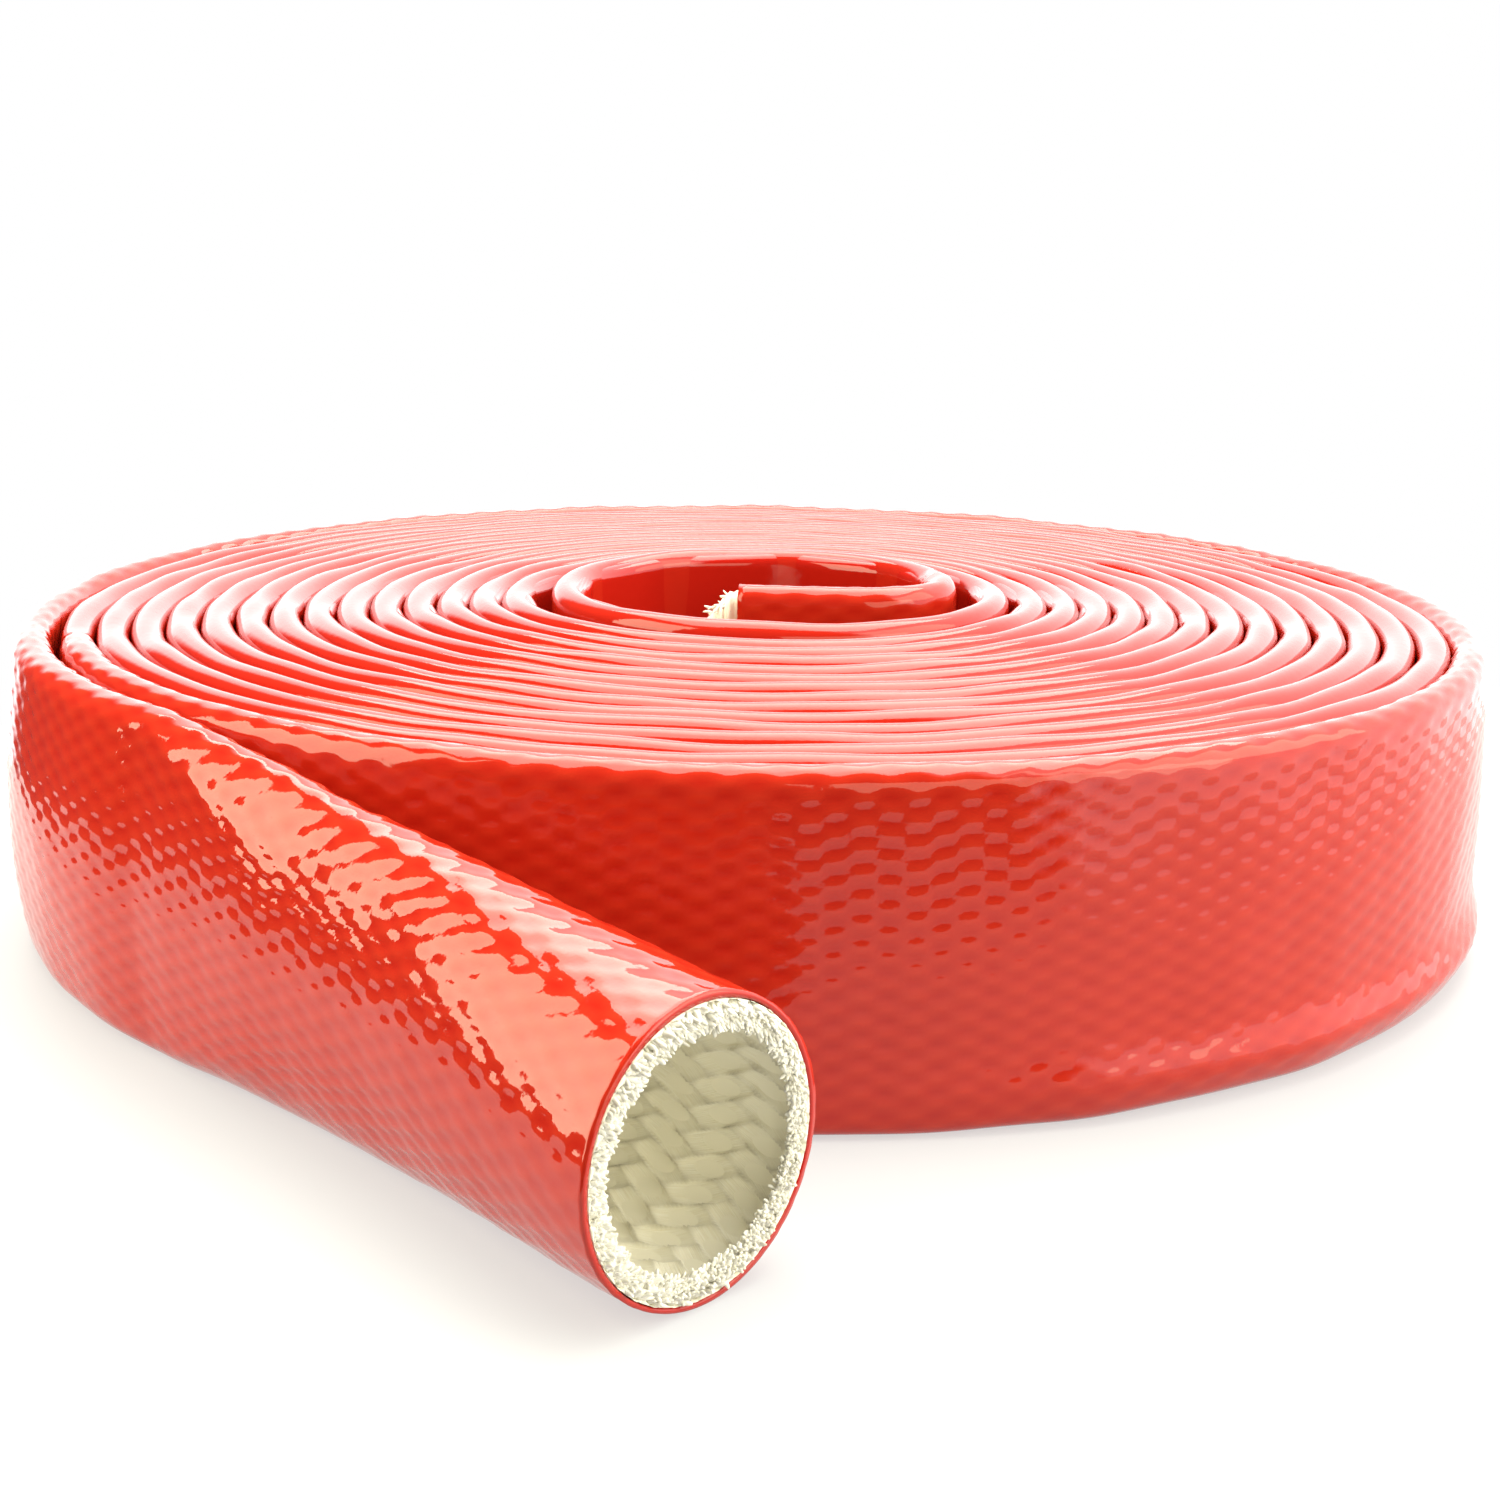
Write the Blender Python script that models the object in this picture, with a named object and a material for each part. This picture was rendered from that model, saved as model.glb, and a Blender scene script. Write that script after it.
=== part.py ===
"""A silicone-coated, braided glass-fibre fire sleeve.

The sleeve is laid flat and wound into a spiral roll that stands on its edge. Its free end
leaves the roll along +X and opens out into a round tube. The roll's axis is vertical, the
floor is z = 0, and the origin is the middle of the underside of the whole object.
Lengths are in metres.
"""

import math

import bmesh
import bpy

# Sleeve
COVER_WALL = 0.0010  # silicone skin
BRAID_WALL = 0.00255  # glass braid
BORE_SLIT = 0.0006  # what is left of the bore where the sleeve is flat
FLAT_WIDTH = 0.0776  # sleeve laid flat, which is the height of the roll
FOLD_CHAMFER = 0.0012  # along the folded edges of the flat sleeve
MOUTH_BORE = 0.0489  # bore of the opened free end

# Roll
WOUND_RADIUS = 0.1925  # outer face of the outermost turn, where the free end leaves it
CORE_RADIUS = 0.0475  # middle of the flat sleeve where the winding ends inside
CORE_SLACK = 0.0067  # how far the last turn has sprung off the turn around it
SLACK_TURNS = 1.4  # turns over which that slack builds up
TAIL_LIFT = 0.0025  # how far the outermost turn has sprung off the roll
LIFT_TURNS = 0.6
CORE_RISE = 0.0040  # the innermost turns stand this much higher than the outer ones
RISE_POWER = 1.2
CORE_LIFT = 0.0030  # and the slack last turn this much higher again
STEPS_PER_TURN = 18
ROLL_PARTS = 4  # lengths that the wound cover is divided into

# Inner end, which bends off the last turn and runs across the hole
CORE_BEND_RADIUS = 0.022
CORE_BEND_ANGLE = math.radians(108)
CORE_BEND_STEPS = 6
CORE_END_LENGTH = 0.030
BRAID_STUB = 0.011  # braid standing out of the cover at the inner end

# Free end
TAIL_LENGTH = 0.167
OPENING_POWER = 1.1  # it opens almost evenly along its length
ROLL_SIDE_REACH = 0.0233  # how far the open tube reaches back towards the roll
MOUTH_STUB = 0.0015  # braid standing out of the cover at the mouth
TAIL_STEPS = 14
THROAT_STEPS = 7  # of them, those in the narrow half of the braid
TUBE_POINTS = 20

# Clearances
LAYER_GAP = 0.0003  # cover to braid
TURN_GAP = 0.0003  # turn to turn
SPLIT_GAP = 0.0003  # one length of the sleeve to the next

LAYERS = COVER_WALL + LAYER_GAP + BRAID_WALL
FLAT_THICKNESS = 2 * LAYERS + BORE_SLIT
PITCH = FLAT_THICKNESS + TURN_GAP
HALF_FLAT = FLAT_THICKNESS / 2
HALF_WIDTH = FLAT_WIDTH / 2
START_RADIUS = WOUND_RADIUS - HALF_FLAT
TURNS = (START_RADIUS - CORE_RADIUS - CORE_SLACK) / PITCH
ROLL_STEPS = round(TURNS * STEPS_PER_TURN)
MOUTH_RADIUS = MOUTH_BORE / 2 + LAYERS
TAIL_DRIFT = MOUTH_RADIUS - ROLL_SIDE_REACH


def clear_scene():
    for obj in list(bpy.data.objects):
        bpy.data.objects.remove(obj, do_unlink=True)


def ease(share):
    """Smooth rise from 0 to 1."""
    share = min(max(share, 0.0), 1.0)
    return share * share * (3 - 2 * share)


def slackness(turn):
    """How far the sleeve has sprung off the turn around it, from 0 to 1 at the inner end."""
    return ease((turn - TURNS + SLACK_TURNS) / SLACK_TURNS)


def wound_radius(turn):
    """Radius of the middle of the flat sleeve, after this many turns inwards."""
    lift = TAIL_LIFT * max(0.0, 1 - turn / LIFT_TURNS) ** 2
    return START_RADIUS + lift - PITCH * turn - CORE_SLACK * slackness(turn)


def wound_rise(turn):
    """Height of the sleeve's lower edge above the floor. The outermost turn stands on it."""
    inwards = max(0.0, (turn - 1) / (TURNS - 1))
    return CORE_RISE * inwards**RISE_POWER + CORE_LIFT * slackness(turn)


def roll_station(turn):
    """(x, y, z, outward x, outward y) of the flat sleeve's middle, after this many turns."""
    angle = -math.pi / 2 - 2 * math.pi * turn
    out_x, out_y = math.cos(angle), math.sin(angle)
    radius = wound_radius(turn)
    return radius * out_x, radius * out_y, wound_rise(turn), out_x, out_y


def roll_stations(first, last):
    """The stations of one length of the roll, from one step of the winding to another."""
    stations = [roll_station(step / STEPS_PER_TURN) for step in range(first, last + 1)]
    if first > 0:  # clear of the length before it
        turn = first / STEPS_PER_TURN
        stations[0] = roll_station(turn + SPLIT_GAP / (2 * math.pi * wound_radius(turn)))
    return stations


def core_stations(last, length):
    """The inner end, from the last wound station: a bend, then a straight run of this length."""
    x, y, z, out_x, out_y = last
    angle = math.atan2(out_y, out_x)
    centre_x = x - CORE_BEND_RADIUS * out_x
    centre_y = y - CORE_BEND_RADIUS * out_y
    stations = []
    for step in range(1, CORE_BEND_STEPS + 1):
        turned = angle - CORE_BEND_ANGLE * step / CORE_BEND_STEPS
        out_x, out_y = math.cos(turned), math.sin(turned)
        x = centre_x + CORE_BEND_RADIUS * out_x
        y = centre_y + CORE_BEND_RADIUS * out_y
        stations.append((x, y, z, out_x, out_y))
    stations.append((x + length * out_y, y - length * out_x, z, out_x, out_y))
    return stations


def tail_station(along):
    """(x, y, opened) of the free end this far from the roll. It opens from 0 to 1."""
    opened = (min(along, TAIL_LENGTH) / TAIL_LENGTH) ** OPENING_POWER
    return along, -wound_radius(0) - TAIL_DRIFT * opened, opened


def tail_stations(first, last):
    """The stations of one length of the free end, which starts clear of the one before it."""
    step_length = TAIL_LENGTH / TAIL_STEPS
    stations = [tail_station(step * step_length) for step in range(first, last + 1)]
    stations[0] = tail_station(first * step_length + SPLIT_GAP)
    return stations


def flat_outline(half_thickness, half_width, chamfer=0.0):
    """(outward, up) points of the flat sleeve's section, or of one of its layers."""
    corners = [(1, -1), (1, 1), (-1, 1), (-1, -1)]
    if not chamfer:
        return [(a * half_thickness, b * half_width) for a, b in corners]
    points = []
    for side, level in corners:
        on_face = (side * half_thickness, level * (half_width - chamfer))
        on_edge = (side * (half_thickness - chamfer), level * half_width)
        points += [on_face, on_edge] if side * level > 0 else [on_edge, on_face]
    return points


def tube_outline(inset, opened):
    """(outward, up) points of the free end's section, this far inside its outer face.

    Two half rounds joined by straight sides: flat at the roll, a full round at the mouth.
    """
    round_radius = HALF_FLAT + (MOUTH_RADIUS - HALF_FLAT) * opened
    straight = (HALF_WIDTH - HALF_FLAT) * (1 - opened)
    points = []
    for index in range(TUBE_POINTS):
        angle = 2 * math.pi * (index + 0.5) / TUBE_POINTS
        side = math.copysign(straight, math.sin(angle))
        reach = round_radius - inset
        points.append((reach * math.cos(angle), side + reach * math.sin(angle)))
    return points


def wind(outline, stations):
    """One ring of points for each station of the roll, with the same outline on each."""
    rings = []
    for x, y, z, out_x, out_y in stations:
        middle = z + HALF_WIDTH
        rings.append([(x + a * out_x, y + a * out_y, middle + b) for a, b in outline])
    return rings


def draw_out(inset, stations):
    """One ring of points for each station of the free end, whose underside is on the floor."""
    rings = []
    for x, y, opened in stations:
        middle = -min(up for _, up in tube_outline(0.0, opened))
        rings.append([(x, y - a, middle + b) for a, b in tube_outline(inset, opened)])
    return rings


def skin(bm, rings):
    """Faces between the rings. It returns the first and the last ring's vertices."""
    loops = [[bm.verts.new(point) for point in ring] for ring in rings]
    count = len(loops[0])
    for near, far in zip(loops, loops[1:]):
        for index in range(count):
            after = (index + 1) % count
            bm.faces.new([near[index], near[after], far[after], far[index]])
    return loops[0], loops[-1]


def close_end(bm, outer, inner):
    """The rim between the outer and the inner skin, whose outline may have fewer points."""
    share = len(outer) // len(inner)
    for index in range(len(inner)):
        after = (index + 1) % len(inner)
        span = [outer[(index * share + step) % len(outer)] for step in range(share + 1)]
        bm.faces.new([inner[index], *span, inner[after]])


def hollow_length(name, outer_rings, inner_rings, material):
    """A length of tube: an outer skin, an inner skin, and a rim at each end."""
    bm = bmesh.new()
    outer_ends = skin(bm, outer_rings)
    inner_ends = skin(bm, inner_rings)
    for outer, inner in zip(outer_ends, inner_ends):
        close_end(bm, outer, inner)
    bmesh.ops.recalc_face_normals(bm, faces=bm.faces)
    mesh = bpy.data.meshes.new(name)
    bm.to_mesh(mesh)
    bm.free()
    mesh.shade_smooth()
    mesh.set_sharp_from_angle(angle=math.radians(30))
    mesh.materials.append(material)
    obj = bpy.data.objects.new(name, mesh)
    bpy.context.scene.collection.objects.link(obj)
    return obj


def plain_material(name, colour, roughness):
    material = bpy.data.materials.new(name)
    material.use_nodes = True
    shader = material.node_tree.nodes["Principled BSDF"]
    shader.inputs["Base Color"].default_value = (*colour, 1.0)
    shader.inputs["Roughness"].default_value = roughness
    shader.inputs["Metallic"].default_value = 0.0
    material.diffuse_color = (*colour, 1.0)
    return material


def cover_roll(number, material):
    """One length of the silicone skin along the wound part of the sleeve."""
    first = round(ROLL_STEPS * number / ROLL_PARTS)
    last = round(ROLL_STEPS * (number + 1) / ROLL_PARTS)
    stations = roll_stations(first, last)
    if last == ROLL_STEPS:
        stations += core_stations(stations[-1], CORE_END_LENGTH)
    outside = wind(flat_outline(HALF_FLAT, HALF_WIDTH, FOLD_CHAMFER), stations)
    inside = wind(flat_outline(HALF_FLAT - COVER_WALL, HALF_WIDTH - COVER_WALL), stations)
    return hollow_length(f"cover_roll_{number + 1}", outside, inside, material)


def braid_roll(material):
    """The glass braid inside it, with its bore pressed to a slit."""
    stations = roll_stations(0, ROLL_STEPS)
    stations += core_stations(stations[-1], CORE_END_LENGTH + BRAID_STUB)
    skin_inset = COVER_WALL + LAYER_GAP
    outside = wind(flat_outline(HALF_FLAT - skin_inset, HALF_WIDTH - skin_inset), stations)
    inside = wind(flat_outline(HALF_FLAT - LAYERS, HALF_WIDTH - LAYERS), stations)
    return hollow_length("braid_roll", outside, inside, material)


def cover_tail(material):
    """The silicone skin along the free end."""
    stations = tail_stations(0, TAIL_STEPS)
    outside = draw_out(0.0, stations)
    inside = draw_out(COVER_WALL, stations)
    return hollow_length("cover_tail", outside, inside, material)


def braid_length(name, stations, material):
    """One length of the glass braid along the free end."""
    outside = draw_out(COVER_WALL + LAYER_GAP, stations)
    inside = draw_out(LAYERS, stations)
    return hollow_length(name, outside, inside, material)


def braid_tail(material):
    """The glass braid along the free end, in a narrow length and an open one."""
    mouth_stations = tail_stations(THROAT_STEPS, TAIL_STEPS)
    mouth_stations.append(tail_station(TAIL_LENGTH + MOUTH_STUB))
    throat = braid_length("braid_throat", tail_stations(0, THROAT_STEPS), material)
    mouth = braid_length("braid_mouth", mouth_stations, material)
    return [throat, mouth]


def stand_over_origin(parts):
    """Parents the parts to the roll's axis, and puts the middle of their box over the origin."""
    points = [vertex.co for part in parts for vertex in part.data.vertices]
    axis = bpy.data.objects.new("roll_axis", None)
    bpy.context.scene.collection.objects.link(axis)
    middle_x = (min(p.x for p in points) + max(p.x for p in points)) / 2
    middle_y = (min(p.y for p in points) + max(p.y for p in points)) / 2
    axis.location = (-middle_x, -middle_y, 0.0)
    for part in parts:
        part.parent = axis


def main():
    clear_scene()
    silicone = plain_material("silicone_cover", (0.80, 0.06, 0.02), 0.25)
    glass = plain_material("glass_braid", (0.78, 0.74, 0.62), 0.85)
    parts = [cover_roll(number, silicone) for number in range(ROLL_PARTS)]
    parts += [braid_roll(glass), cover_tail(silicone), *braid_tail(glass)]
    stand_over_origin(parts)


main()
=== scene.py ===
import math

import bpy
import numpy as np
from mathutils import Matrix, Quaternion, Vector


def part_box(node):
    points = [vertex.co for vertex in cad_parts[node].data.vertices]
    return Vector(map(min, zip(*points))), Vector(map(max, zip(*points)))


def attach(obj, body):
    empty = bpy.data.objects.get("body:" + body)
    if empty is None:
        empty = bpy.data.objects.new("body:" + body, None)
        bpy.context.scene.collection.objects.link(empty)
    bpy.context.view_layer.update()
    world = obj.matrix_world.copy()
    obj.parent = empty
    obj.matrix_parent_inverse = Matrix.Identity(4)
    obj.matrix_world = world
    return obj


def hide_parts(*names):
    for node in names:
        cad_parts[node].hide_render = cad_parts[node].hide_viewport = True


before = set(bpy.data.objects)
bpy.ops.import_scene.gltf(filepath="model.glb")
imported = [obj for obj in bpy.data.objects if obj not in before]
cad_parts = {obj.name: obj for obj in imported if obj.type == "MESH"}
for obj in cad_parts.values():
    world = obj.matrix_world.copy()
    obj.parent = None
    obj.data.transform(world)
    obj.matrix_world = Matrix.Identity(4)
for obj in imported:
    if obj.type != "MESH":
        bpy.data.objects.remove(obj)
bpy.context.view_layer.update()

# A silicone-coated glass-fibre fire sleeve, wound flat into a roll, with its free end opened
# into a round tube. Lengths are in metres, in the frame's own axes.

# ---------------------------------------------------------------- sizes of the sleeve
# The sleeve and its route have the CAD model's sizes. They are repeated here because the
# frame holds only the nodes' boxes.
COVER_WALL = 0.0010
BRAID_WALL = 0.00255
LAYER_GAP = 0.0003  # between the cover and the braid
SPLIT_GAP = 0.0003  # between the wound length and the free end
HALF_FLAT = 0.00415  # half the thickness of the sleeve laid flat
HALF_WIDTH = 0.0388  # half its width, which stands upright in the roll
MOUTH_RADIUS = 0.0283
BRAID_DEPTH = COVER_WALL + LAYER_GAP  # from the sleeve's surface to the braid's

PITCH = 0.0086  # from one turn to the next
START_RADIUS = 0.1925 - HALF_FLAT  # of the sleeve's middle, where the spiral starts
CORE_RADIUS = 0.0475  # and where it ends
CORE_SLACK = 0.0067  # how far the last turns have sprung in from the spiral
SLACK_TURNS = 1.4
TAIL_LIFT = 0.0025  # how far the outermost turn stands off where it leaves the roll
LIFT_TURNS = 0.6
CORE_RISE = 0.0040  # how far the turns rise towards the middle of the roll
RISE_POWER = 1.2
CORE_LIFT = 0.0030  # how much higher the slack turns stand
CORE_BEND_RADIUS = 0.022
CORE_BEND_ANGLE = math.radians(108)
CORE_END_LENGTH = 0.030  # the straight run after the bend
OPENING_POWER = 1.1
TAIL_DRIFT = 0.0050  # how far the free end drifts outwards
TURNS = (START_RADIUS - CORE_RADIUS - CORE_SLACK) / PITCH

# Where the roll's axis stands, from the free end's box: its first ring is just off the axis,
# and its mouth is centred on the sleeve's middle.
tail_low, tail_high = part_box("cover_tail")
MOUTH_X = tail_high[0]
AXIS_X = tail_low[0] - SPLIT_GAP
TAIL_LENGTH = MOUTH_X - AXIS_X
MOUTH_Y = (tail_low[1] + tail_high[1]) / 2
AXIS_Y = MOUTH_Y + START_RADIUS + TAIL_LIFT + TAIL_DRIFT

# ---------------------------------------------------------------- detail of the cover
SECTION_POINTS = 128  # around the cover
FINE_STEP = 0.0012  # along the free end and the outermost turn
COARSE_STEP = 0.0060  # along the turns of which only the edges show
FINE_TURNS = 1.08
INNER_STRIDE = 6  # the inner skin takes every sixth ring of the outer one
COVER_BEND_STEPS = 24
COVER_END_STEPS = 15
ELLIPSE_AT = 0.35  # how far the sleeve has opened when its section is a full ellipse

TOWS = 32  # tows of the braid in each direction
TOW_STEP = 0.0105  # along the sleeve, from one tow to the next
FLOAT_SHARE = 0.6  # of a tow's relief comes from going over and under, the rest from its back
RELIEF = 0.00050  # how far the braid's crossings raise the skin
ROUND_BUMPS = 0.7  # the share of that in rounded bumps, the rest follows the weave
TAIL_LUMPS = 0.4  # the added share of relief where the sleeve opens out
LUMPS_END = 1.4  # where that ends, in lengths of the free end
LUMPS_FADE = 0.06
BASE_SMOOTH = 0.010  # the relief fades out over this height above the floor
WAVE_HEIGHT = 0.00018  # slow unevenness of the skin
WAVE_LENGTH = 0.045
EDGE_WAVE = 0.00022  # unevenness of the inner turns' upper edges
EDGE_WAVE_LENGTH = 0.055
EDGE_THIN = 0.3  # how thin the skin looks on the inner turns, which have no relief

CROWN = 0.0032  # the outermost turn bulges before it becomes the free end
CROWN_TURNS = 0.30
CROWN_TAIL = 0.6  # the share of the free end over which the bulge fades out
BARREL = 0.0008  # the bulge of the whole outermost turn
BARREL_FADE = 0.05  # of a turn
RIDGE = 0.0030  # a soft crease that stands out low on the outermost turn
RIDGE_UP = 0.0085
RIDGE_WIDE = 0.0055
RIDGE_TURN = 0.73
RIDGE_TURNS = 0.09

# ---------------------------------------------------------------- detail of the braid
BORE_POINTS = 420  # around the bore
BORE_STEP = 0.00042  # along it
HIDDEN_RINGS = 20  # along the free end's outer side, which the cover hides
TOW_RELIEF = 0.00190  # how far the tows stand into the bore
TOW_RELIEF_AT = 0.3  # how far the sleeve has opened when they stand out in full
CREASE_HEIGHT = 0.55  # the braid's colour gets painted shade where its relief is below this
OTHER_TOWS = 100  # moves the second direction's fibres to another part of their pattern

WOUND_POINTS = 48  # around the wound braid
WOUND_STEP = 0.010  # along it
BRAID_BEND_STEPS = 12
BRAID_END_STEPS = 6
SLIT_EASE = 0.0002  # the wound bore is wider by this much on each side
STUB_LENGTH = 0.011  # bare braid that stands out of the inner end
STUB_STEPS = 23
STUB_SWELL = 0.25  # of its thickness, halfway along the stub
STUB_DROOP = 0.16  # of its height, at the end of the stub
DROOP_POWER = 1.6
STUB_BOW = 0.0020
STUB_ROUGH = 0.0004
STUB_ROUGH_LENGTH = 0.00165
STUB_THICK_BELOW = 0.004  # the wall's added thickness at the end of the stub
STUB_THICK_ABOVE = 0.06  # the same, as a share of the height

# ---------------------------------------------------------------- detail of the cut yarn ends
TUFT_SIDES = 5
TUFT_RINGS = ((0.0, 0.9), (0.4, 1.0), (0.75, 0.9), (0.95, 0.55))  # shares of length and girth
TUFT_BEND = 0.35  # of its length, sideways at the tip
TUFT_SINK = 0.0003  # how deep under the braid's surface the outermost roots lie

MOUTH_TUFTS = 4200
MOUTH_LENGTHS = (0.0009, 0.0027)
MOUTH_GIRTHS = (0.00034, 0.00062)
MOUTH_ROOTS = (-0.0016, -0.0008)  # from the plane of the mouth
MOUTH_OVERHANG = 0.0004  # how much further than the wall's thickness the roots spread
MOUTH_LEAN = 0.7  # how far the outermost tufts lean inwards, for each length ahead
MOUTH_LEAN_INSIDE = 1.6  # how much more the innermost ones do
MOUTH_LEAN_SPREAD = 0.3
MOUTH_LEAST_LEAN = 0.3
MOUTH_SWIRL = 0.35
SIDE_LENGTH = 0.7  # factor on a tuft's length at the sides of the mouth
TOP_LENGTH = 0.55  # added to that factor at its top and bottom

CORE_TUFTS = 700
CORE_LENGTHS = (0.0015, 0.0035)
CORE_GIRTHS = (0.00025, 0.00055)
CORE_SHARES = (0.05, 1.0)  # of the stub's length
CORE_HEIGHTS = (0.25, 1.0)  # of its height
CORE_LEAN = 0.7
CORE_FALL = -0.25
CORE_FALL_SPREAD = 0.35

# ---------------------------------------------------------------- the studio's sizes and lights
FLOOR_RADIUS = 0.38
FLOOR_CENTRE = (0.07, 0.03)
FLOOR_SIDES = 96
FLOOR_GREY = 0.20
FLOOR_GLOW = 0.58
ROOM_LIGHT = 0.08
BACK_WALL_LIGHT = 2.6
BACK_WALL_AZIMUTH = 172
BACK_WALL_EDGE = 0.08  # cosine of the angle from its middle to its edge
BACK_WALL_BLUR = 0.1
WARM = (1.0, 0.96, 0.68)
CREAM = (1.0, 1.0, 0.86)
WHITE = (1.0, 1.0, 1.0, 1.0)


# ---------------------------------------------------------------- the sleeve's route
# A route has one row for each ring of the sleeve: x, y, rise, outward x, outward y, opened and
# crown. x and y are the middle of the sleeve, from the roll's axis, and rise is its lowest
# point. opened goes from 0, flat, to 1 at the mouth, and crown is the bulge of its outer side.
def ease(share):
    """A smooth step from 0 to 1."""
    share = np.clip(share, 0.0, 1.0)
    return share * share * (3 - 2 * share)


def even_steps(count):
    """Shares at equal steps, without the 0 and with the 1."""
    return np.arange(1, count + 1) / count


def slackness(turn):
    return ease((turn - TURNS + SLACK_TURNS) / SLACK_TURNS)


def wound_radius(turn):
    lift = TAIL_LIFT * np.maximum(0.0, 1 - turn / LIFT_TURNS) ** 2
    return START_RADIUS + lift - PITCH * turn - CORE_SLACK * slackness(turn)


def wound_rise(turn):
    inwards = np.maximum(0.0, (turn - 1) / (TURNS - 1))
    return CORE_RISE * inwards**RISE_POWER + CORE_LIFT * slackness(turn)


def tail_route(along):
    """The free end, at these distances from where it leaves the roll."""
    opened = (along / TAIL_LENGTH) ** OPENING_POWER
    y = -wound_radius(0.0) - TAIL_DRIFT * opened
    crown = (CROWN + BARREL) * (1 - ease(along / (CROWN_TAIL * TAIL_LENGTH)))
    none = np.zeros_like(along)
    return np.stack([along, y, none, none, none - 1, opened, crown], axis=1)


def wound_route(turn):
    """The wound sleeve, after this many turns."""
    angle = -math.pi / 2 - 2 * math.pi * turn
    out_x, out_y = np.cos(angle), np.sin(angle)
    radius = wound_radius(turn)
    crown = CROWN * ease(1 - turn / CROWN_TURNS) + BARREL * ease((FINE_TURNS - turn) / BARREL_FADE)
    opened = np.zeros_like(turn)
    rows = [radius * out_x, radius * out_y, wound_rise(turn), out_x, out_y, opened, crown]
    return np.stack(rows, axis=1)


def core_route(last, bend_steps, end_lengths):
    """The inner end: a bend off the last turn, then a straight run."""
    x, y, rise, out_x, out_y = last[:5]
    angle = math.atan2(out_y, out_x)
    turned = angle - CORE_BEND_ANGLE * even_steps(bend_steps)
    centre_x = x - CORE_BEND_RADIUS * out_x
    centre_y = y - CORE_BEND_RADIUS * out_y
    rows = []
    for step in turned:
        side_x, side_y = math.cos(step), math.sin(step)
        at_x = centre_x + CORE_BEND_RADIUS * side_x
        at_y = centre_y + CORE_BEND_RADIUS * side_y
        rows.append((at_x, at_y, rise, side_x, side_y, 0, 0))
    for length in end_lengths:
        rows.append((at_x + length * side_y, at_y - length * side_x, rise, side_x, side_y, 0, 0))
    return np.array(rows)


def turns_between(first, last, step):
    """Turns at equal distances along the spiral, which are smaller angles further out."""
    turns = [first]
    while turns[-1] < last:
        turns.append(turns[-1] + step / (2 * math.pi * float(wound_radius(turns[-1]))))
    turns[-1] = last
    return np.array(turns)


def whole_route():
    """The route from the mouth to the inner end, and the distance along it."""
    tail_rings = round(TAIL_LENGTH / FINE_STEP)
    tail = tail_route(np.linspace(TAIL_LENGTH, 0.0, tail_rings, endpoint=False))
    fine = wound_route(turns_between(0.0, FINE_TURNS, FINE_STEP))
    coarse = wound_route(turns_between(FINE_TURNS, TURNS, COARSE_STEP)[1:])
    end_lengths = CORE_END_LENGTH * even_steps(COVER_END_STEPS)
    core = core_route(coarse[-1], COVER_BEND_STEPS, end_lengths)
    route = np.concatenate([tail, fine, coarse, core])
    steps = np.linalg.norm(np.diff(route[:, :2], axis=0), axis=1)
    return route, np.concatenate([[0.0], np.cumsum(steps)])


# ---------------------------------------------------------------- the sleeve's section
def flat_section(reach, straight, points):
    """Two half rounds joined by straight sides: (outward, up from the middle) and the angle.

    Points start at the lowest one, go outwards and up, and lie at equal distances.
    """
    around = 2 * math.pi * reach + 4 * straight
    at = np.arange(points)[None, :] / points * around
    quarter = math.pi * reach / 2
    rise_end = quarter + 2 * straight
    over_end = rise_end + math.pi * reach
    fall_end = over_end + 2 * straight
    angle = np.where(at < quarter, at / reach - math.pi / 2, 0.0)
    angle = np.where((at > rise_end) & (at < over_end), (at - rise_end) / reach, angle)
    angle = np.where((at >= over_end) & (at <= fall_end), math.pi, angle)
    angle = np.where(at > fall_end, math.pi + (at - fall_end) / reach, angle)
    side = np.clip(at - quarter, 0, 2 * straight) - np.clip(at - over_end, 0, 2 * straight)
    return reach * np.cos(angle), side - straight + reach * np.sin(angle), angle


def section(route, points, inset=0.0):
    """Points around each ring: (outward, up from the lowest point), and their normals.

    The section of the flat sleeve becomes an ellipse as it opens.
    """
    opened, crown = route[:, 5:6], route[:, 6:7]
    reach = HALF_FLAT + (MOUTH_RADIUS - HALF_FLAT) * opened
    straight = (HALF_WIDTH - HALF_FLAT) * (1 - opened)
    tall = reach + straight
    flat_out, flat_up, angle = flat_section(reach, straight, points)
    lean = np.arctan2(flat_up / tall, flat_out / reach)
    rounded = ease(opened / ELLIPSE_AT)
    out = flat_out + (reach * np.cos(lean) - flat_out) * rounded
    up = flat_up + (tall * np.sin(lean) - flat_up) * rounded
    normal_out = np.cos(angle) + (np.cos(lean) / reach * tall - np.cos(angle)) * rounded
    normal_up = np.sin(angle) + (np.sin(lean) - np.sin(angle)) * rounded
    size = np.hypot(normal_out, normal_up)
    normal_out, normal_up = normal_out / size, normal_up / size
    out = out + crown * np.clip(1 - (up / tall) ** 2, 0, 1) * (normal_out > 0.5)
    return out - inset * normal_out, tall + up - inset * normal_up, normal_out, normal_up


def place(route, out, up):
    """World points of rings given as (outward, up) from the route."""
    x = AXIS_X + route[:, 0:1] + out * route[:, 3:4]
    y = AXIS_Y + route[:, 1:2] + out * route[:, 4:5]
    z = route[:, 2:3] + up
    return np.stack([x, y, z], axis=2)


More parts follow.
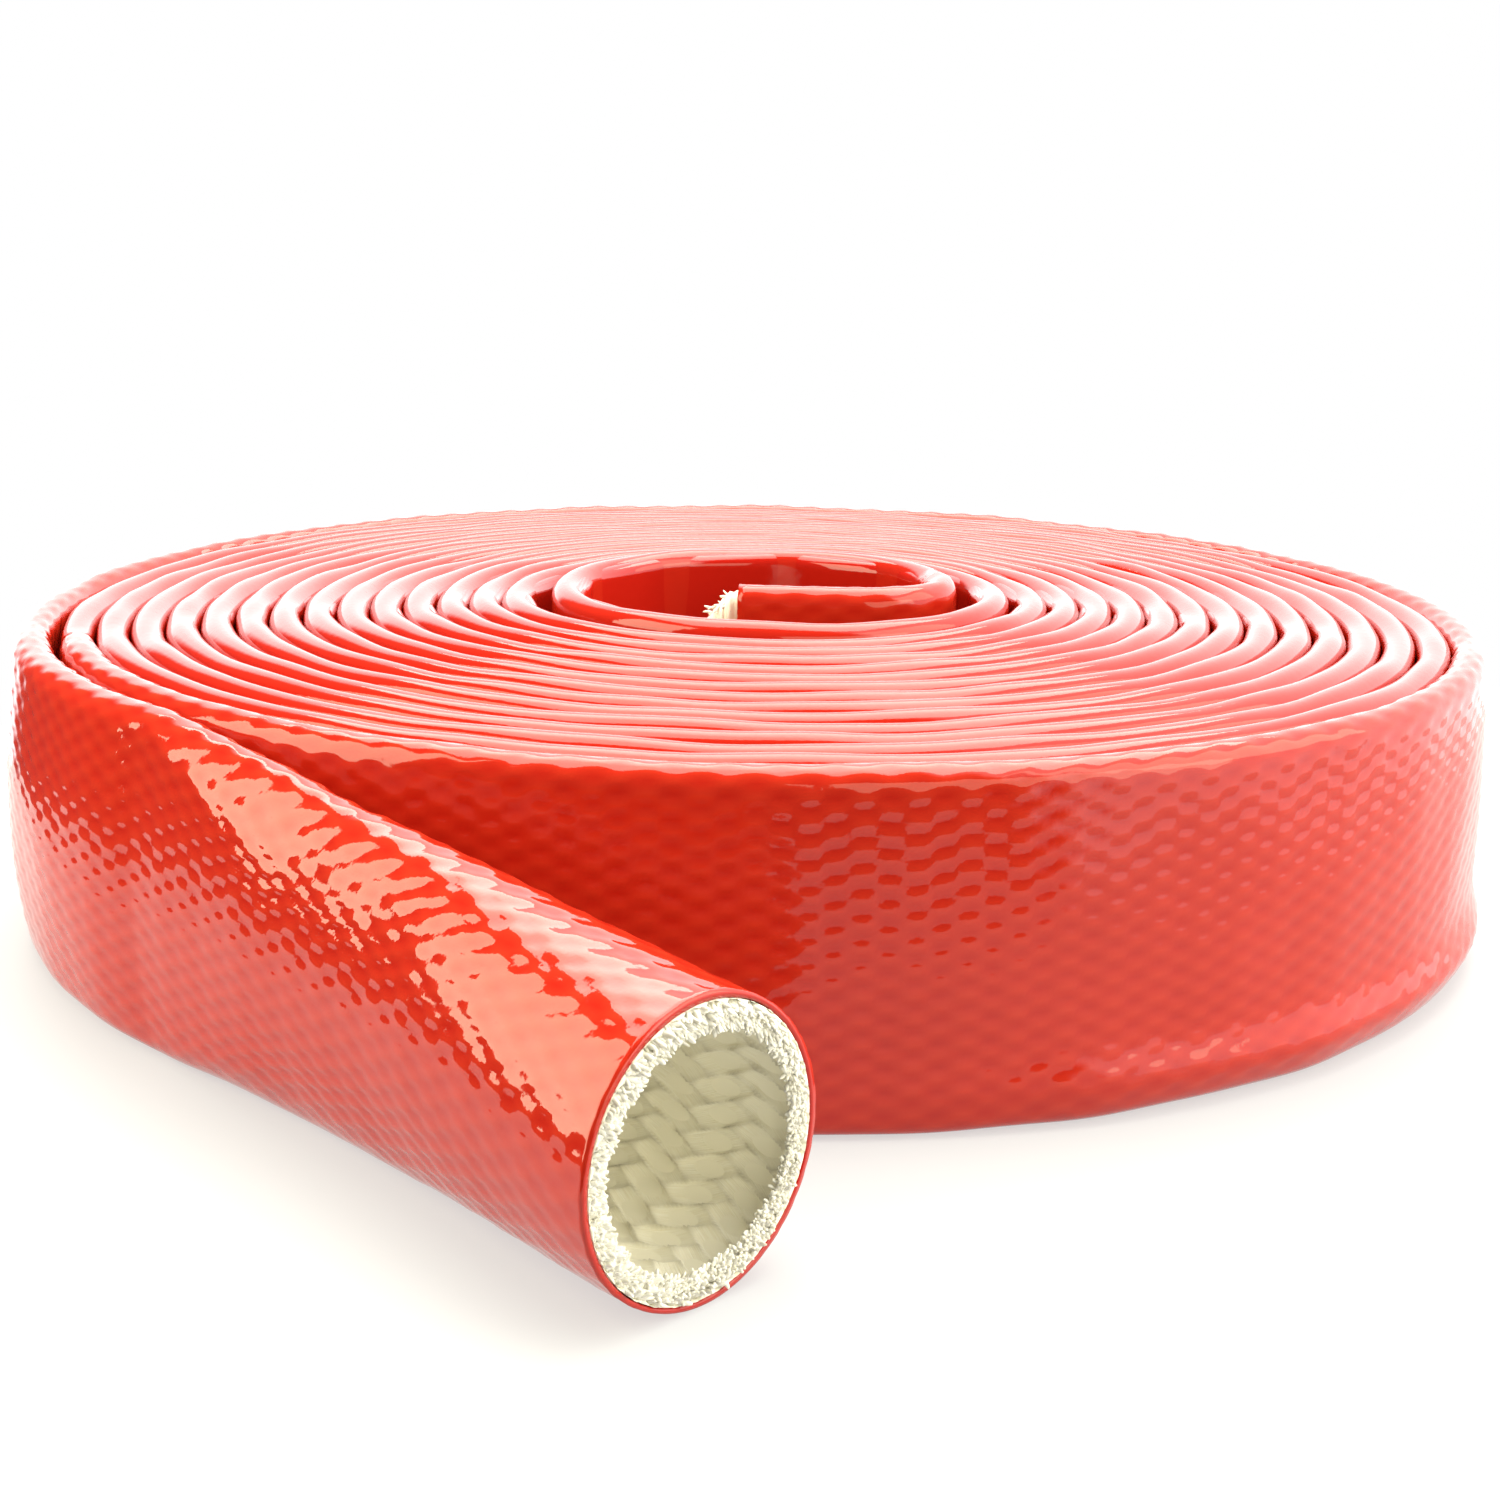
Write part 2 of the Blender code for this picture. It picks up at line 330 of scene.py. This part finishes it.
# ---------------------------------------------------------------- patterns
def slow_waves(along, around, wavelength, seed):
    """Smooth unevenness, mostly between -1 and 1. around is a share of a turn, so it closes."""
    draws = np.random.default_rng(seed)
    waves = 14
    total = 0.0
    for _ in range(waves):
        lobes = draws.integers(-4, 5)
        pace = 2 * math.pi / (wavelength * draws.uniform(0.6, 2.2))
        total = total + np.sin(pace * along + 2 * math.pi * lobes * around + draws.uniform(0, 6.3))
    return total / 4.0


def tow_phases(along, around):
    """Which tow of each direction lies at a point: whole numbers are the edges between tows."""
    return along / TOW_STEP + TOWS * around, along / TOW_STEP - TOWS * around


def crossings(along, around):
    """The braid's floats as they show through the skin: rounded bumps in staggered columns."""
    one, other = tow_phases(along, around)
    return 0.5 + 0.5 * np.sin(math.pi * (one + other)) * np.cos(math.pi * (one - other))


def tow_height(across, run):
    """Relief of the tows of one direction, given the phases across them and along them."""
    wave = np.cos(math.pi / 2 * run)
    back = np.sqrt(np.clip(1 - (2 * (across % 1) - 1) ** 2, 0, 1))
    return FLOAT_SHARE * wave + (1 - FLOAT_SHARE) * back


def twill(along, around):
    """Relief of the braid, over two and under two, and whether the first direction is on top."""
    one, other = tow_phases(along, around)
    height_one = tow_height(one, other + np.floor(one) - 1)
    height_other = tow_height(other, one + np.floor(other) - 3)
    return np.maximum(height_one, height_other), height_one > height_other


# ---------------------------------------------------------------- mesh helpers
def ring_faces(rings, points, first=0):
    """Quads between rings of points, as vertex numbers."""
    ring = np.arange(rings - 1)[:, None] * points
    point = np.arange(points)[None, :]
    after = (point + 1) % points
    corners = [ring + point, ring + after, ring + points + after, ring + points + point]
    return first + np.stack(corners, axis=2).reshape(-1, 4)


def bridge_faces(one, other, points):
    """Quads between two rings, given by their first vertex numbers."""
    point = np.arange(points)
    after = (point + 1) % points
    return np.stack([one + point, one + after, other + after, other + point], axis=1)


def new_mesh(name, vertices, faces, material, slot, uv=None, **shades):
    """A smooth mesh object. uv is per face corner, and each shade is one number per vertex."""
    mesh = bpy.data.meshes.new(name)
    mesh.vertices.add(len(vertices))
    mesh.vertices.foreach_set("co", vertices.astype(np.float32).ravel())
    sides = faces.shape[1]
    mesh.loops.add(len(faces) * sides)
    mesh.loops.foreach_set("vertex_index", faces.astype(np.int32).ravel())
    mesh.polygons.add(len(faces))
    mesh.polygons.foreach_set("loop_start", np.arange(len(faces), dtype=np.int32) * sides)
    if uv is not None:
        layer = mesh.uv_layers.new(name="tows")
        layer.uv.foreach_set("vector", uv.astype(np.float32).ravel())
    for shade, values in shades.items():
        attribute = mesh.attributes.new(shade, "FLOAT", "POINT")
        attribute.data.foreach_set("value", values.astype(np.float32).ravel())
    mesh.update(calc_edges=True)
    mesh.validate()
    mesh.shade_smooth()
    mesh.materials.append(material)
    piece = bpy.data.objects.new(name, mesh)
    bpy.context.scene.collection.objects.link(piece)
    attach(piece, "root")
    return piece


def tube_wall(name, outer, inner, material, slot, uv=None, **shades):
    """A closed tube wall from its outer and inner rings, which have equally many points."""
    count = outer.shape[1]
    vertices = np.concatenate([outer.reshape(-1, 3), inner.reshape(-1, 3)])
    first_inner = len(outer) * count
    last_inner = first_inner + (len(inner) - 1) * count
    faces = np.concatenate([
        ring_faces(len(outer), count)[:, ::-1],
        ring_faces(len(inner), count, first_inner),
        bridge_faces(0, first_inner, count),
        bridge_faces(last_inner, first_inner - count, count),
    ])
    return new_mesh(name, vertices, faces, material, slot, uv, **shades)


# ---------------------------------------------------------------- material helpers
def shader_of(name, roughness=0.5):
    material = bpy.data.materials.new(name)
    material.use_nodes = True
    tree = material.node_tree
    shader = tree.nodes["Principled BSDF"]
    shader.inputs["Roughness"].default_value = roughness
    return material, tree, shader


def object_place(tree):
    return tree.nodes.new("ShaderNodeTexCoord").outputs["Object"]


def noise(tree, coordinates, scale, detail):
    texture = tree.nodes.new("ShaderNodeTexNoise")
    texture.inputs["Scale"].default_value = scale
    texture.inputs["Detail"].default_value = detail
    tree.links.new(coordinates, texture.inputs["Vector"])
    return texture.outputs["Fac"]


def spread(tree, value, low, high):
    """value, from 0.3 to 0.7, spread over low to high."""
    ranged = tree.nodes.new("ShaderNodeMapRange")
    ranged.inputs["From Min"].default_value = 0.3
    ranged.inputs["From Max"].default_value = 0.7
    ranged.inputs["To Min"].default_value = low
    ranged.inputs["To Max"].default_value = high
    tree.links.new(value, ranged.inputs["Value"])
    return ranged.outputs["Result"]


def shade_of(tree, name):
    """The number per vertex that new_mesh stored under this name, or 0 where it stored none."""
    attribute = tree.nodes.new("ShaderNodeAttribute")
    attribute.attribute_name = name
    return attribute.outputs["Fac"]


def mixed(tree, share, one, other):
    """A mix of two colours, of which the first may be another node's output."""
    mix = tree.nodes.new("ShaderNodeMix")
    mix.data_type = "RGBA"
    if isinstance(one, tuple):
        mix.inputs["A"].default_value = (*one, 1.0)
    else:
        tree.links.new(one, mix.inputs["A"])
    mix.inputs["B"].default_value = (*other, 1.0)
    tree.links.new(share, mix.inputs["Factor"])
    return mix.outputs["Result"]


def bumped(tree, shader, height, distance, strength):
    bump = tree.nodes.new("ShaderNodeBump")
    bump.inputs["Distance"].default_value = distance
    bump.inputs["Strength"].default_value = strength
    tree.links.new(height, bump.inputs["Height"])
    tree.links.new(bump.outputs["Normal"], shader.inputs["Normal"])


# ---------------------------------------------------------------- the materials
def silicone():
    """Glossy orange-red silicone rubber, with a faint mottle and fine pits."""
    material, tree, shader = shader_of("coated_silicone")
    where = object_place(tree)
    mottle = noise(tree, where, 60.0, 3.0)
    colour = mixed(tree, mottle, (0.33, 0.008, 0.004), (0.38, 0.011, 0.005))
    colour = mixed(tree, shade_of(tree, "thin_skin"), colour, (0.45, 0.026, 0.010))
    tree.links.new(colour, shader.inputs["Base Color"])
    smear = noise(tree, where, 35.0, 3.0)
    tree.links.new(spread(tree, smear, 0.035, 0.085), shader.inputs["Roughness"])
    shader.inputs["IOR"].default_value = 1.42
    pits = noise(tree, where, 420.0, 2.0)
    bumped(tree, shader, pits, 0.00006, 0.5)
    return material


def glass_braid():
    """Cream glass yarn: fibres along each tow, and painted shade in the creases between tows."""
    material, tree, shader = shader_of("glass_yarn", 0.62)
    along_tow = tree.nodes.new("ShaderNodeMapping")
    along_tow.inputs["Scale"].default_value = (26.0, 0.9, 1.0)
    tree.links.new(tree.nodes.new("ShaderNodeUVMap").outputs["UV"], along_tow.inputs["Vector"])
    fibres = noise(tree, along_tow.outputs["Vector"], 1.0, 4.0)
    yarn = mixed(tree, spread(tree, fibres, 0, 1), (0.84, 0.79, 0.62), (0.95, 0.92, 0.80))
    # painted shade: the yarn turns dark brown where the tows' relief is low, in the creases
    # between them
    colour = mixed(tree, shade_of(tree, "crease"), yarn, (0.24, 0.19, 0.09))
    tree.links.new(colour, shader.inputs["Base Color"])
    shader.inputs["Sheen Weight"].default_value = 0.25
    bumped(tree, shader, fibres, 0.00025, 0.6)
    return material


def cut_glass():
    """The fluffy cut end of the yarn, almost white."""
    material, tree, shader = shader_of("cut_glass", 0.9)
    speckle = noise(tree, object_place(tree), 500.0, 3.0)
    colour = mixed(tree, spread(tree, speckle, 0, 1), (0.60, 0.57, 0.49), (0.75, 0.73, 0.67))
    tree.links.new(colour, shader.inputs["Base Color"])
    shader.inputs["Subsurface Weight"].default_value = 0.5
    shader.inputs["Subsurface Radius"].default_value = (0.002, 0.002, 0.0015)
    bumped(tree, shader, speckle, 0.0003, 0.5)
    return material


# ---------------------------------------------------------------- the cover
def skin_bumps(distance, around):
    """The braid as it shows through the skin, from about 0 to 1."""
    weave, _ = twill(distance, around)
    return ROUND_BUMPS * crossings(distance, around) + (1 - ROUND_BUMPS) * weave


def skin_relief(distance, up, fine):
    """How far the bumps raise the skin, which depends on where they are."""
    lumps_left = (LUMPS_END * TAIL_LENGTH - distance) / LUMPS_FADE
    lumpy = ease(distance / LUMPS_FADE) * ease(lumps_left)
    return RELIEF * fine * (1 + TAIL_LUMPS * lumpy) * ease(up / BASE_SMOOTH)


def low_ridge(distance, up, normal_out):
    """The soft crease on the outside of the outermost turn."""
    turned = (distance - TAIL_LENGTH) / (2 * math.pi * START_RADIUS)
    across = np.exp(-(((up - RIDGE_UP) / RIDGE_WIDE) ** 2))
    along = np.exp(-(((turned - RIDGE_TURN) / RIDGE_TURNS) ** 4))
    return RIDGE * across * along * np.clip(normal_out, 0, 1)


def cover_piece(material):
    """The silicone skin: one closed tube wall from the mouth to the inner end."""
    count = SECTION_POINTS
    route, along = whole_route()
    out, up, normal_out, normal_up = section(route, count)
    around = np.arange(count)[None, :] / count
    distance = along[:, None]
    step = np.gradient(along)[:, None]
    fine = np.clip((COARSE_STEP - step) / (COARSE_STEP - FINE_STEP), 0, 1)
    bumps = skin_bumps(distance, around)
    height = skin_relief(distance, up, fine) * bumps
    height = height + WAVE_HEIGHT * slow_waves(distance, around, WAVE_LENGTH, seed=3)
    height = height + low_ridge(distance, up, normal_out)
    edge = slow_waves(distance, 0, EDGE_WAVE_LENGTH, seed=9) * np.clip(normal_up, 0, 1)
    out = out + height * normal_out
    up = up + height * normal_up + EDGE_WAVE * (1 - fine) * edge
    outer = place(route, out, np.maximum(up, 0.0))
    rows = np.unique(np.append(np.arange(0, len(route), INNER_STRIDE), len(route) - 1))
    inner_out, inner_up, _, _ = section(route[rows], count, COVER_WALL)
    inner = place(route[rows], inner_out, inner_up)
    thin = fine * np.clip(bumps, 0, 1) + EDGE_THIN * (1 - fine)
    thin = np.concatenate([thin.ravel(), np.zeros(len(rows) * count)])
    piece = tube_wall("sleeve_cover", outer, inner, material, "silicone_cover", thin_skin=thin)
    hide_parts(*[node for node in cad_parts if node.startswith("cover")])


# ---------------------------------------------------------------- the braid
def tow_uv(one, other, one_on_top):
    """Face-corner coordinates across and along the tow on top, counted in tows."""
    wide = TOWS / one.shape[1]  # one more point around changes the phases by this much
    this, following = slice(None, -1), slice(1, None)
    top = one_on_top[this]
    corners = []
    for rings, shift in ((this, 0), (this, wide), (following, wide), (following, 0)):
        corner_one = one[rings] + shift
        corner_other = other[rings] - shift
        across = np.where(top, corner_one, corner_other + OTHER_TOWS)
        run = np.where(top, corner_other, corner_one)
        corners.append(np.stack([across, run], axis=2))
    return np.stack(corners, axis=2).reshape(-1, 4, 2)


def opened_braid(material):
    """The braid along the free end, with its tows modelled on the side of the bore."""
    count = BORE_POINTS
    outer_route = tail_route(np.linspace(TAIL_LENGTH, SPLIT_GAP, HIDDEN_RINGS))
    out, up, _, _ = section(outer_route, count, BRAID_DEPTH)
    outer = place(outer_route, out, up)
    lengths = np.linspace(TAIL_LENGTH, SPLIT_GAP, round(TAIL_LENGTH / BORE_STEP))
    route = tail_route(lengths)
    along = (TAIL_LENGTH - lengths)[:, None] + np.zeros((1, count))
    around = np.arange(count)[None, :] / count + 0 * along
    relief, one_on_top = twill(along, around)
    standing = TOW_RELIEF * ease(route[:, 5:6] / TOW_RELIEF_AT)
    wall = BRAID_DEPTH + BRAID_WALL - standing * (0.5 + relief)
    out, up, normal_out, normal_up = section(route, count)
    inner = place(route, out - wall * normal_out, up - wall * normal_up)
    one, other = tow_phases(along, around)
    hidden_uv = np.zeros(((HIDDEN_RINGS - 1) * count, 4, 2))
    rims_uv = np.zeros((2 * count, 4, 2))
    uv = np.concatenate([hidden_uv, tow_uv(one, other, one_on_top), rims_uv])
    # painted shade in the creases, the more the lower the relief
    crease = np.clip(CREASE_HEIGHT - relief, 0, 1)
    crease = np.concatenate([np.zeros(HIDDEN_RINGS * count), crease.ravel()])
    piece = tube_wall("braid_opened", outer, inner, material, "glass_braid", uv, crease=crease)
    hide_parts("braid_throat", "braid_mouth")


def stub_shape(share):
    """The stub's thickness and height as factors, and how far it bows outwards."""
    swell = 1 + STUB_SWELL * np.sin(math.pi * share)
    droop = 1 - STUB_DROOP * share**DROOP_POWER
    return swell, droop, STUB_BOW * share**2


def wound_braid(material):
    """The braid's hidden run through the roll, and the stub that droops out of the inner end."""
    count = WOUND_POINTS
    wound = wound_route(turns_between(0.0, TURNS, WOUND_STEP))
    stub = even_steps(STUB_STEPS)
    hidden_lengths = CORE_END_LENGTH * even_steps(BRAID_END_STEPS)
    lengths = np.concatenate([hidden_lengths, CORE_END_LENGTH + STUB_LENGTH * stub])
    route = np.concatenate([wound, core_route(wound[-1], BRAID_BEND_STEPS, lengths)])
    share = np.concatenate([np.zeros(len(route) - len(stub)), stub])[:, None]
    swell, droop, bow = stub_shape(share)
    around = np.arange(count)[None, :] / count
    rough = slow_waves(STUB_LENGTH * share, around, STUB_ROUGH_LENGTH, seed=5)
    rough = STUB_ROUGH * rough * (share > 0)
    out, up, _, _ = section(route, count, BRAID_DEPTH)
    outer = place(route, out * swell + bow + rough, up * droop + rough)
    out, up, _, _ = section(route, count, BRAID_DEPTH + BRAID_WALL - SLIT_EASE)
    up = STUB_THICK_BELOW * share + up * (droop - STUB_THICK_ABOVE * share)
    inner = place(route, out * swell + bow, up)
    piece = tube_wall("braid_wound", outer, inner, material, "glass_braid")
    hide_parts("braid_roll")


# ---------------------------------------------------------------- the cut yarn ends
def tuft_triangles():
    """The triangles of one tuft, whose points are its rings, its root and its tip."""
    sides, rings = TUFT_SIDES, len(TUFT_RINGS)
    quads = ring_faces(rings, sides)[:, ::-1]
    around = np.arange(sides)
    after = (around + 1) % sides
    root = np.full(sides, rings * sides)
    last_ring = (rings - 1) * sides
    root_fan = np.stack([root, around, after], axis=1)
    tip_fan = np.stack([root + 1, last_ring + after, last_ring + around], axis=1)
    return np.concatenate([quads[:, [0, 1, 2]], quads[:, [0, 2, 3]], root_fan, tip_fan])


def tufts(name, roots, directions, lengths, girths, material, seed):
    """Short tapering bundles of fibre, each a bent closed spindle."""
    total = len(roots)
    directions = directions / np.linalg.norm(directions, axis=1)[:, None]
    side = np.cross(directions, np.random.default_rng(seed).normal(size=(total, 3)))
    side /= np.linalg.norm(side, axis=1)[:, None]
    third = np.cross(directions, side)
    turn = 2 * math.pi * np.arange(TUFT_SIDES) / TUFT_SIDES
    around = side[:, None, :] * np.cos(turn)[None, :, None]
    around = around + third[:, None, :] * np.sin(turn)[None, :, None]

    def middle(share):
        bend = (TUFT_BEND * share**2 * lengths)[:, None] * side
        return (roots + (share * lengths)[:, None] * directions + bend)[:, None, :]

    rings = []
    for share, girth in TUFT_RINGS:
        rings.append(middle(share) + (girth * girths)[:, None, None] * around)
    points = np.concatenate([*rings, middle(0.0), middle(1.0)], axis=1)
    first = np.arange(total)[:, None, None] * points.shape[1]
    triangles = (first + tuft_triangles()[None]).reshape(-1, 3)
    new_mesh(name, points.reshape(-1, 3), triangles, material, "glass_braid")


def mouth_fringe(material):
    """Cut yarn ends all round the mouth, some splayed in over the bore."""
    draws = np.random.default_rng(11)
    total = MOUTH_TUFTS
    around = 2 * math.pi * (np.arange(total) + draws.uniform(-0.5, 0.5, total)) / total
    depth = draws.uniform(0, 1, total)  # 0 under the cover, 1 at the bore
    radius = MOUTH_RADIUS - BRAID_DEPTH - TUFT_SINK - depth * (BRAID_WALL + MOUTH_OVERHANG)
    cos, sin = np.cos(around), np.sin(around)
    x = MOUTH_X + draws.uniform(*MOUTH_ROOTS, total)
    roots = np.stack([x, MOUTH_Y - radius * cos, MOUTH_RADIUS + radius * sin], axis=1)
    lean = MOUTH_LEAN + MOUTH_LEAN_INSIDE * depth + draws.normal(0.0, MOUTH_LEAN_SPREAD, total)
    lean = np.maximum(MOUTH_LEAST_LEAN, lean)
    swirl = draws.normal(0.0, MOUTH_SWIRL, total)
    none = np.zeros(total)
    inwards = np.stack([none, cos, -sin], axis=1)
    sideways = np.stack([none, sin, cos], axis=1)
    ahead = np.array([1.0, 0.0, 0.0])
    directions = ahead + lean[:, None] * inwards + swirl[:, None] * sideways
    lengths = draws.uniform(*MOUTH_LENGTHS, total) * (SIDE_LENGTH + TOP_LENGTH * np.abs(sin))
    girths = draws.uniform(*MOUTH_GIRTHS, total)
    tufts("mouth_fringe", roots, directions, lengths, girths, material, seed=12)


def core_fringe(material):
    """Frayed yarn over the end of the stub."""
    draws = np.random.default_rng(21)
    total = CORE_TUFTS
    wound = wound_route(np.array([TURNS]))
    stub_ends = np.array([CORE_END_LENGTH, CORE_END_LENGTH + STUB_LENGTH])
    start, stop = core_route(wound[-1], BRAID_BEND_STEPS, stub_ends)[-2:]
    share = draws.uniform(*CORE_SHARES, total)
    height = draws.uniform(*CORE_HEIGHTS, total)
    side = draws.uniform(-1, 1, total)
    swell, droop, bow = stub_shape(share)
    out = (HALF_FLAT - BRAID_DEPTH - TUFT_SINK) * swell * side + bow
    up = (2 * HALF_WIDTH - BRAID_DEPTH - TUFT_SINK) * height * droop
    out_x, out_y = stop[3], stop[4]
    x = AXIS_X + start[0] + (stop[0] - start[0]) * share + out * out_x
    y = AXIS_Y + start[1] + (stop[1] - start[1]) * share + out * out_y
    roots = np.stack([x, y, stop[2] + up], axis=1)
    ahead = np.array([out_y, -out_x, 0.0])
    outwards = np.array([out_x, out_y, 0.0])
    upwards = np.array([0.0, 0.0, 1.0])
    fall = draws.normal(CORE_FALL, CORE_FALL_SPREAD, total)
    directions = ahead + CORE_LEAN * side[:, None] * outwards + fall[:, None] * upwards
    lengths = draws.uniform(*CORE_LENGTHS, total)
    girths = draws.uniform(*CORE_GIRTHS, total)
    tufts("core_fringe", roots, directions, lengths, girths, material, seed=22)


# ---------------------------------------------------------------- the studio
def direction(azimuth, elevation):
    """A unit vector away from the roll. Azimuth 0 is -Y and 90 is +X, in degrees."""
    turned, raised = math.radians(azimuth), math.radians(elevation)
    level = math.cos(raised)
    return Vector((math.sin(turned) * level, -math.cos(turned) * level, math.sin(raised)))


def facing_roll(name, data, away, distance):
    """A light or a camera at this distance from the middle of the roll, and looking at it."""
    thing = bpy.data.objects.new(name, data)
    thing.location = Vector((AXIS_X, AXIS_Y, HALF_WIDTH)) + distance * away
    thing.rotation_mode = "QUATERNION"
    thing.rotation_quaternion = (-away).to_track_quat("-Z", "Y")
    bpy.context.scene.collection.objects.link(thing)
    return thing


def floor_stage():
    """A pale round table top, lit from within so that no hard shadow lies on it."""
    mesh = bpy.data.meshes.new("floor")
    corners = []
    for side in range(FLOOR_SIDES):
        angle = 2 * math.pi * side / FLOOR_SIDES
        x = FLOOR_CENTRE[0] + FLOOR_RADIUS * math.cos(angle)
        y = FLOOR_CENTRE[1] + FLOOR_RADIUS * math.sin(angle)
        corners.append((x, y, 0.0))
    mesh.from_pydata(corners, [], [tuple(range(FLOOR_SIDES))])
    material, _, shader = shader_of("pale_floor", 0.6)
    shader.inputs["Base Color"].default_value = (FLOOR_GREY, FLOOR_GREY, FLOOR_GREY, 1.0)
    shader.inputs["Specular IOR Level"].default_value = 0.1
    shader.inputs["Emission Color"].default_value = WHITE
    shader.inputs["Emission Strength"].default_value = FLOOR_GLOW
    mesh.materials.append(material)
    floor = bpy.data.objects.new("floor", mesh)
    bpy.context.scene.collection.objects.link(floor)


def soft_world():
    """A white background. What the sleeve reflects is a dim room with a bright back wall."""
    world = bpy.data.worlds.new("studio")
    bpy.context.scene.world = world
    world.use_nodes = True
    nodes, links = world.node_tree.nodes, world.node_tree.links
    towards = nodes.new("ShaderNodeVectorMath")
    towards.operation = "DOT_PRODUCT"
    links.new(nodes.new("ShaderNodeTexCoord").outputs["Generated"], towards.inputs[0])
    towards.inputs[1].default_value = direction(BACK_WALL_AZIMUTH, 0)
    wall = nodes.new("ShaderNodeMapRange")
    wall.interpolation_type = "SMOOTHSTEP"
    wall.inputs["From Min"].default_value = BACK_WALL_EDGE - BACK_WALL_BLUR
    wall.inputs["From Max"].default_value = BACK_WALL_EDGE + BACK_WALL_BLUR
    wall.inputs["To Min"].default_value = ROOM_LIGHT
    wall.inputs["To Max"].default_value = BACK_WALL_LIGHT
    links.new(towards.outputs["Value"], wall.inputs["Value"])
    room = nodes["Background"]
    room.inputs["Color"].default_value = WHITE
    links.new(wall.outputs["Result"], room.inputs["Strength"])
    white = nodes.new("ShaderNodeBackground")
    white.inputs["Color"].default_value = WHITE
    path = nodes.new("ShaderNodeLightPath")
    choice = nodes.new("ShaderNodeMixShader")
    links.new(path.outputs["Is Camera Ray"], choice.inputs["Fac"])
    links.new(room.outputs["Background"], choice.inputs[1])
    links.new(white.outputs["Background"], choice.inputs[2])
    links.new(choice.outputs["Shader"], nodes["World Output"].inputs["Surface"])


def softbox(name, azimuth, elevation, distance, size, radiance, colour):
    """A rectangular light that faces the roll. Its size is (width, height)."""
    light = bpy.data.lights.new(name, "AREA")
    light.shape = "RECTANGLE"
    width, height = size
    light.size, light.size_y = width, height
    light.energy = radiance * math.pi * width * height
    light.color = colour
    facing_roll(name, light, direction(azimuth, elevation), distance)


def softboxes():
    softbox("left_softbox", -27, 25, 0.80, (0.52, 0.74), 7.5, WARM)
    softbox("right_softbox", 118, 34, 1.50, (1.30, 0.90), 3.0, WARM)
    softbox("front_softbox", 80, 19, 1.30, (1.50, 0.50), 3.2, WARM)
    softbox("overhead_softbox", -138, 76, 1.50, (1.70, 1.80), 7.0, CREAM)


def camera():
    """A short telephoto view from the front right, slightly above the roll."""
    azimuth, elevation, tilt = 42.5, 13.51, 0.894
    distance = 0.660
    data = bpy.data.cameras.new("camera")
    data.sensor_width = 36.0
    data.lens = 58.02
    data.shift_x = -0.0096
    data.shift_y = -0.0052
    data.clip_start = 0.01
    eye = facing_roll("camera", data, direction(azimuth, elevation), distance)
    eye.rotation_quaternion = eye.rotation_quaternion @ Quaternion((0, 0, 1), math.radians(tilt))
    bpy.context.scene.camera = eye


camera()
floor_stage()
soft_world()
softboxes()
bpy.context.scene.view_settings.view_transform = "Standard"

cover_piece(silicone())
glass = glass_braid()
opened_braid(glass)
wound_braid(glass)
cut = cut_glass()
mouth_fringe(cut)
core_fringe(cut)
